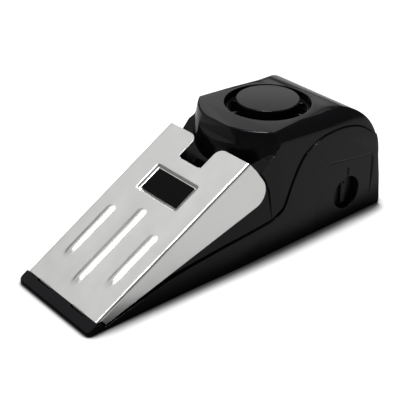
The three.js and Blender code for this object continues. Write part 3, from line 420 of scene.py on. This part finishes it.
def moulded(node):
    """The solid of a node, merged, cleaned of needless edges and given rounded edges."""
    source = frame["nodes"][node]
    mesh = source.data.copy()
    obj = bpy.data.objects.new(node + "_shape", mesh)
    bpy.context.scene.collection.objects.link(obj)
    shape = bmesh.new()
    shape.from_mesh(mesh)
    bmesh.ops.remove_doubles(shape, verts=shape.verts, dist=MERGE)
    bmesh.ops.dissolve_limit(shape, angle_limit=FLAT_TURN, verts=shape.verts, edges=shape.edges)
    weight = shape.edges.layers.float.new("bevel_weight_edge")
    crease = math.radians(ROUND_CREASE if node in ROUND_PIECES else CREASE)
    for edge in shape.edges:
        edge.smooth = len(edge.link_faces) == 2 and edge.calc_face_angle() < crease
        if not edge.smooth:
            edge[weight] = EDGE_BEVEL / WIDEST_BEVEL
            if edge.is_convex and is_soft(node, edge):
                edge[weight] = 1
    for face in shape.faces:
        face.smooth = True
    shape.to_mesh(mesh)
    shape.free()
    add_bevel(obj, WIDEST_BEVEL, CREASE).limit_method = "WEIGHT"
    finished(obj, node)
    return obj


def close_seam(obj, node):
    """Moves the faces of a piece that look at the node's solid across the seam until they all but meet it."""
    other = frame["nodes"][node].data
    tree = BVHTree.FromPolygons([v.co for v in other.vertices], [p.vertices for p in other.polygons])
    mesh = obj.data
    facing = set()
    for face in mesh.polygons:
        _, normal, _, distance = tree.find_nearest(face.center)
        if distance < SEAM_REACH * MM and normal.dot(face.normal) < SEAM_FACING:
            facing.update(face.vertices)
    for number in facing:
        vertex = mesh.vertices[number]
        place, _, _, distance = tree.find_nearest(vertex.co)
        if distance < SEAM_REACH * MM:
            vertex.co = vertex.co.lerp(place, SEAM_SHARE)


def raise_rear_lip(obj):
    """Lifts the upper edge of the rear wall across the seam's groove, up to the other shell."""
    for vertex in obj.data.vertices:
        x, _, z = from_nose(vertex.co)
        if x > REAR_LIP_X and z > REAR_LIP_Z:
            vertex.co.x -= REAR_LIP_BACK * MM
            vertex.co.z += REAR_LIP_RISE * MM


def slope_crest(obj):
    """Lifts the outer edge of the side panel's crest, so that the crest slopes in to the panel."""
    for vertex in obj.data.vertices:
        x, y, z = from_nose(vertex.co)
        if CREST_X[0] < x < CREST_X[1] and CREST_Z[0] < z < CREST_Z[1] and y < CREST_SKIN_Y:
            vertex.co.z += CREST_RISE * float(smooth_step((x - CREST_X[0]) / CREST_FADE)) * MM


def shorten(obj):
    """A spring under a plunger that slides down: gives its piece a mesh of its own."""
    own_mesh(obj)


def finished(obj, node):
    """Puts the material of the node's slot on a piece that stands for it, on the node's body."""
    slot = SLOTS[node]
    obj.data.materials.clear()
    obj.data.materials.append(LOOKS[slot])
    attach(obj, BODY_OF[node])
    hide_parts(node)


# Materials: broad waves per metre, the middle of a noise, and heights of bumps in metres
BROAD_SCALE = 45
NOISE_MIDDLE = 0.5
GRAIN_HEIGHT = 0.05 * MM
WAVE_HEIGHT = 2 * MM


def new_group(name, inputs, outputs):
    """A node group with value inputs {name: start value} and outputs {name: socket type}."""
    tree = bpy.data.node_groups.new(name, "ShaderNodeTree")
    for key, value in inputs.items():
        socket = tree.interface.new_socket(name=key, in_out="INPUT", socket_type="NodeSocketFloat")
        socket.default_value = value
    for key, kind in outputs.items():
        tree.interface.new_socket(name=key, in_out="OUTPUT", socket_type=kind)
    return tree, tree.nodes.new("NodeGroupInput"), tree.nodes.new("NodeGroupOutput")


def math_node(tree, operation):
    """A node that calculates with values."""
    node = tree.nodes.new("ShaderNodeMath")
    node.operation = operation
    return node


def colour_mix(tree):
    """A node that mixes two colours."""
    node = tree.nodes.new("ShaderNodeMix")
    node.data_type = "RGBA"
    return node


def moulding_grain():
    """Fine grain as a bump height, broad waves as another, and a roughness that wanders a little."""
    tree, given, result = new_group(
        "moulding_grain", {"Scale": 2500, "Roughness": 0.35, "Wander": 0.06},
        {"Height": "NodeSocketFloat", "Waves": "NodeSocketFloat", "Roughness": "NodeSocketFloat"})
    place = tree.nodes.new("ShaderNodeTexCoord")
    fine = tree.nodes.new("ShaderNodeTexNoise")
    broad = tree.nodes.new("ShaderNodeTexNoise")
    broad.inputs["Scale"].default_value = BROAD_SCALE
    spread = math_node(tree, "MULTIPLY_ADD")
    centre = math_node(tree, "SUBTRACT")
    centre.inputs[1].default_value = NOISE_MIDDLE
    link = tree.links.new
    link(place.outputs["Object"], fine.inputs["Vector"])
    link(place.outputs["Object"], broad.inputs["Vector"])
    link(given.outputs["Scale"], fine.inputs["Scale"])
    link(broad.outputs["Fac"], centre.inputs[0])
    link(centre.outputs[0], spread.inputs[0])
    link(given.outputs["Wander"], spread.inputs[1])
    link(given.outputs["Roughness"], spread.inputs[2])
    link(fine.outputs["Fac"], result.inputs["Height"])
    link(broad.outputs["Fac"], result.inputs["Waves"])
    link(spread.outputs[0], result.inputs["Roughness"])
    return tree


def principled(name, colour, roughness, metallic=0.0):
    """A plain material with its main values set."""
    material = bpy.data.materials.new(name)
    material.use_nodes = True
    shader = material.node_tree.nodes["Principled BSDF"]
    shader.inputs["Base Color"].default_value = (*colour, 1)
    shader.inputs["Roughness"].default_value = roughness
    shader.inputs["Metallic"].default_value = metallic
    return material, shader


def grained(name, colour, roughness, grain, wander, bump,
            metallic=0.0, gloss=0.5, waves=0.0, tint=(1, 1, 1)):
    """A material with the grain in its roughness and bump, on a skin that may be a little wavy."""
    material, shader = principled(name, colour, roughness, metallic)
    shader.inputs["Specular IOR Level"].default_value = gloss
    shader.inputs["Specular Tint"].default_value = (*tint, 1)
    tree = material.node_tree
    group = tree.nodes.new("ShaderNodeGroup")
    group.node_tree = GRAIN
    group.inputs["Scale"].default_value = grain
    group.inputs["Roughness"].default_value = roughness
    group.inputs["Wander"].default_value = wander
    rise = tree.nodes.new("ShaderNodeBump")
    rise.inputs["Strength"].default_value = bump
    rise.inputs["Distance"].default_value = GRAIN_HEIGHT
    tree.links.new(group.outputs["Height"], rise.inputs["Height"])
    tree.links.new(group.outputs["Roughness"], shader.inputs["Roughness"])
    tree.links.new(rise.outputs["Normal"], shader.inputs["Normal"])
    if waves:
        swell = tree.nodes.new("ShaderNodeBump")
        swell.inputs["Strength"].default_value = waves
        swell.inputs["Distance"].default_value = WAVE_HEIGHT
        tree.links.new(group.outputs["Waves"], swell.inputs["Height"])
        tree.links.new(swell.outputs["Normal"], rise.inputs["Normal"])
    return material


def striped(material, axis, stripes):
    """Stripes round a piece: (start, end, colour) at shares of its length along the axis."""
    tree = material.node_tree
    link = tree.links.new
    shader = tree.nodes["Principled BSDF"]
    place = tree.nodes.new("ShaderNodeTexCoord")
    split = tree.nodes.new("ShaderNodeSeparateXYZ")
    link(place.outputs["Generated"], split.inputs[0])
    colour = None
    for start, end, shade in stripes:
        mask = tree.nodes.new("ShaderNodeGroup")
        mask.node_tree = BAND
        mask.inputs["Start"].default_value = start
        mask.inputs["End"].default_value = end
        link(split.outputs[axis], mask.inputs["Place"])
        mix = colour_mix(tree)
        mix.inputs["A"].default_value = shader.inputs["Base Color"].default_value
        mix.inputs["B"].default_value = (*shade, 1)
        link(mask.outputs["Mask"], mix.inputs["Factor"])
        if colour:
            link(colour, mix.inputs["A"])
        colour = mix.outputs["Result"]
    link(colour, shader.inputs["Base Color"])


def band_mask():
    """1 between two places, 0 outside."""
    tree, given, result = new_group(
        "band_mask", {"Place": 0, "Start": 0, "End": 1}, {"Mask": "NodeSocketFloat"})
    above = math_node(tree, "GREATER_THAN")
    below = math_node(tree, "LESS_THAN")
    both = math_node(tree, "MULTIPLY")
    link = tree.links.new
    link(given.outputs["Place"], above.inputs[0])
    link(given.outputs["Start"], above.inputs[1])
    link(given.outputs["Place"], below.inputs[0])
    link(given.outputs["End"], below.inputs[1])
    link(above.outputs[0], both.inputs[0])
    link(below.outputs[0], both.inputs[1])
    link(both.outputs[0], result.inputs["Mask"])
    return tree


GRAIN = moulding_grain()
BAND = band_mask()

# Finish of each slot; its colour is the record's where none is given here
FINISHES = {
    "black_shell": {"colour": (0.004, 0.004, 0.0046), "roughness": 0.18, "grain": 3200, "wander": 0.04,
                    "bump": 0.04, "gloss": 0.155, "tint": (0.94, 0.95, 1)},
    "plate_steel": {"colour": (0.84, 0.84, 0.825), "roughness": 0.33, "grain": 1800, "wander": 0.05,
                    "bump": 0.03, "metallic": 1.0, "waves": 0.7},
    "label_black": {"colour": (0.002, 0.002, 0.002), "roughness": 0.3, "grain": 2500, "wander": 0.05,
                    "bump": 0.05, "gloss": 0.06},
    "dark_plastic": {"colour": (0.003, 0.003, 0.0033), "roughness": 0.3, "grain": 2500, "wander": 0.06,
                     "bump": 0.08, "gloss": 0.15},
    "brass": {"roughness": 0.3, "grain": 1500, "wander": 0.1, "bump": 0.04, "metallic": 1.0},
    "ceramic_white": {"roughness": 0.45, "grain": 900, "wander": 0.1, "bump": 0.05},
    "board_green": {"roughness": 0.35, "grain": 900, "wander": 0.1, "bump": 0.06},
    "coil_brown": {"roughness": 0.5, "grain": 1500, "wander": 0.1, "bump": 0.2},
    "capacitor_blue": {"roughness": 0.3, "grain": 1500, "wander": 0.1, "bump": 0.03},
    "resistor_tan": {"roughness": 0.45, "grain": 1500, "wander": 0.1, "bump": 0.05},
    "trimmer_blue": {"roughness": 0.4, "grain": 1500, "wander": 0.1, "bump": 0.05},
    "plated_steel": {"roughness": 0.3, "grain": 1500, "wander": 0.1, "bump": 0.03, "metallic": 1.0},
    "battery_grey": {"roughness": 0.35, "grain": 900, "wander": 0.1, "bump": 0.03},
    "rubber": {"roughness": 0.85, "grain": 1200, "wander": 0.1, "bump": 0.3},
    "lead_red": {"roughness": 0.4, "grain": 1500, "wander": 0.1, "bump": 0.05},
    "lead_black": {"roughness": 0.4, "grain": 1500, "wander": 0.1, "bump": 0.05},
}
LOOKS = {slot: grained(slot, **{"colour": COLOURS[slot], **finish}) for slot, finish in FINISHES.items()}

# Stripes of a slot: along which axis, and (start, end, colour) of each as shares of a piece's length
JACKET_END = (0.5, 0.5, 0.5)
JACKET_COPPER = (0.55, 0.36, 0.1)
RING_BROWN = (0.2, 0.04, 0.01)
RING_BLACK = (0.01, 0.01, 0.01)
RING_ORANGE = (0.5, 0.12, 0.01)
RING_GOLD = (0.6, 0.4, 0.08)
SLEEVE_GREY = (0.5, 0.52, 0.55)
WIRE_COPPER = (0.45, 0.13, 0.03)
STRIPES = {
    "battery_grey": ("X", [(0.0, 0.04, JACKET_END), (0.7, 0.96, JACKET_COPPER), (0.96, 1.0, JACKET_END)]),
    "resistor_tan": ("X", [(0.16, 0.24, RING_BROWN), (0.34, 0.42, RING_BLACK), (0.52, 0.6, RING_ORANGE),
                           (0.76, 0.84, RING_GOLD)]),
    "capacitor_blue": ("Y", [(0.0, 0.14, SLEEVE_GREY)]),
    "coil_brown": ("Z", [(0.2, 0.8, WIRE_COPPER)]),
}
for slot, (axis, stripes) in STRIPES.items():
    striped(LOOKS[slot], axis, stripes)

# The pieces
finished(strike_plate(), "strike_plate")
for node in frame["nodes"]:
    if node != "strike_plate":
        piece = moulded(node)
        if node == "base_shell":
            slope_crest(piece)
            raise_rear_lip(piece)
            close_seam(piece, "top_shell")
        if node == "trigger_spring":
            shorten(piece)

# Floor: lengths in metres
FLOOR_HALF = 4.0
FLOOR_BASE = (0.9, 0.9, 0.9)
FLOOR_TONE = (0.92, 0.92, 0.92)
# Painted shade on the floor where a gloss sees it: it grows lighter towards the rear and away from the
# middle, and is darkest at the front and close beside the piece
GLOSS_SHADE_X = (-0.16, 0.02)
GLOSS_SHADE_Y = (0.026, 0.038)
# How far off it turns white for the camera
LIFT_REACH = (0.4, 1.0)
# Its contact shadow: how far it reaches, the share of open sky where it is darkest, and its darkest tone
CONTACT_REACH = 0.008
CONTACT_SAMPLES = 16
CONTACT_SHARE = 0.5
CONTACT_TONE = 0.1
# Lights: place and target in metres, width and height in metres, power in watts
LIGHTS = {
    "back_panel": ((-0.45, 1.17, 1.0), (0, 0, 0.02), 1.9, 1.1, 3.5),
    "side_panel": ((0.95, 1.0, 0.92), (0, 0, 0.02), 1.0, 1.1, 3.2),
    "overhead": ((0.04, 0.05, 1.3), (0, 0, 0.02), 0.35, 0.3, 13.5),
    "right_panel": ((0.84, 0.3, 1.1), (0.05, 0, 0.04), 0.5, 0.4, 1.0),
    "front_top": ((-0.33, 0.02, 1.25), (0, 0, 0.02), 0.42, 0.4, 4.2),
}


# Camera, floor and light
def aim(obj, place, target):
    """Puts an object at a place, looking at a target with its own -Z."""
    obj.location = place
    obj.rotation_euler = (Vector(target) - Vector(place)).to_track_quat("-Z", "Y").to_euler()


camera = bpy.data.objects.new("camera", bpy.data.cameras.new("camera"))
camera.data.lens = CAMERA_LENS
camera.data.sensor_width = CAMERA_SENSOR
camera.data.clip_start = CAMERA_NEAREST
bpy.context.scene.collection.objects.link(camera)
aim(camera, CAMERA_PLACE, CAMERA_TARGET)
bpy.context.scene.camera = camera
bpy.context.scene.view_settings.view_transform = "Standard"


def area_light(name, place, target, wide, high, power):
    """A soft rectangular light."""
    data = bpy.data.lights.new(name, "AREA")
    data.shape = "RECTANGLE"
    data.size = wide
    data.size_y = high
    data.energy = power
    obj = bpy.data.objects.new(name, data)
    bpy.context.scene.collection.objects.link(obj)
    aim(obj, place, target)


def white_world(strength, seen):
    """White light of one strength on the object, and of another to the camera."""
    world = bpy.data.worlds.new("studio")
    bpy.context.scene.world = world
    world.use_nodes = True
    tree = world.node_tree
    back = tree.nodes["Background"]
    back.inputs["Color"].default_value = (1, 1, 1, 1)
    rays = tree.nodes.new("ShaderNodeLightPath")
    level = tree.nodes.new("ShaderNodeMix")
    level.inputs["A"].default_value = strength
    level.inputs["B"].default_value = seen
    tree.links.new(rays.outputs["Is Camera Ray"], level.inputs["Factor"])
    tree.links.new(level.outputs["Result"], back.inputs["Strength"])


def ramp(tree, source, reach, start, end):
    """A smooth ramp of a value from start to end, while the value goes through its reach (low, high)."""
    node = tree.nodes.new("ShaderNodeMapRange")
    node.interpolation_type = "SMOOTHSTEP"
    for key, value in {"From Min": reach[0], "From Max": reach[1], "To Min": start, "To Max": end}.items():
        node.inputs[key].default_value = value
    tree.links.new(source, node.inputs["Value"])
    return node.outputs["Result"]


def studio_floor(lift, dim, dark, near):
    """A wide pale floor, lifted towards white for the camera, with painted shade where a gloss sees it (dim
    overall, dark towards the front and near the piece) and a painted contact shadow.
    """
    corners = np.array([[-1, -1, 0], [1, -1, 0], [1, 1, 0], [-1, 1, 0]])
    floor = mesh_object("floor", corners * FLOOR_HALF, np.array([[0, 1, 2, 3]]))
    material, shader = principled("floor", FLOOR_BASE, roughness=1.0)
    shader.inputs["Specular IOR Level"].default_value = 0
    shader.inputs["Emission Strength"].default_value = 1
    tree = material.node_tree
    link = tree.links.new
    rays = tree.nodes.new("ShaderNodeLightPath")
    place = tree.nodes.new("ShaderNodeTexCoord")
    split = tree.nodes.new("ShaderNodeSeparateXYZ")
    aside = math_node(tree, "ABSOLUTE")
    away = tree.nodes.new("ShaderNodeVectorMath")
    away.operation = "LENGTH"
    link(place.outputs["Object"], split.inputs[0])
    link(place.outputs["Object"], away.inputs[0])
    link(split.outputs["Y"], aside.inputs[0])
    around = tree.nodes.new("ShaderNodeAmbientOcclusion")
    around.samples = CONTACT_SAMPLES
    around.inputs["Distance"].default_value = CONTACT_REACH
    contact = ramp(tree, around.outputs["AO"], (CONTACT_SHARE, 1), CONTACT_TONE, 1)
    # Painted shade for gloss rays only: darker towards the front and close beside the piece
    shade = math_node(tree, "MULTIPLY")
    link(ramp(tree, split.outputs["X"], GLOSS_SHADE_X, dark, dim), shade.inputs[0])
    link(ramp(tree, aside.outputs[0], GLOSS_SHADE_Y, near, 1), shade.inputs[1])
    tone = colour_mix(tree)
    tone.inputs["A"].default_value = (*FLOOR_TONE, 1)
    link(shade.outputs[0], tone.inputs["B"])
    link(rays.outputs["Is Glossy Ray"], tone.inputs["Factor"])
    darker = colour_mix(tree)
    darker.blend_type = "MULTIPLY"
    darker.inputs["Factor"].default_value = 1
    link(tone.outputs["Result"], darker.inputs["A"])
    link(contact, darker.inputs["B"])
    link(darker.outputs["Result"], shader.inputs["Base Color"])
    raised = math_node(tree, "MULTIPLY")
    link(ramp(tree, away.outputs["Value"], LIFT_REACH, lift, 1), raised.inputs[0])
    link(contact, raised.inputs[1])
    glow = colour_mix(tree)
    glow.inputs["A"].default_value = (0, 0, 0, 1)
    link(raised.outputs[0], glow.inputs["B"])
    link(rays.outputs["Is Camera Ray"], glow.inputs["Factor"])
    link(glow.outputs["Result"], shader.inputs["Emission Color"])
    floor.data.materials.append(material)


white_world(strength=0.1, seen=1.0)
# The floor's painted shade as a gloss sees it: dim overall, dark at the front, near beside the piece
studio_floor(lift=0.14, dim=0.56, dark=0.2, near=0.15)
for name, values in LIGHTS.items():
    area_light(name, *values)
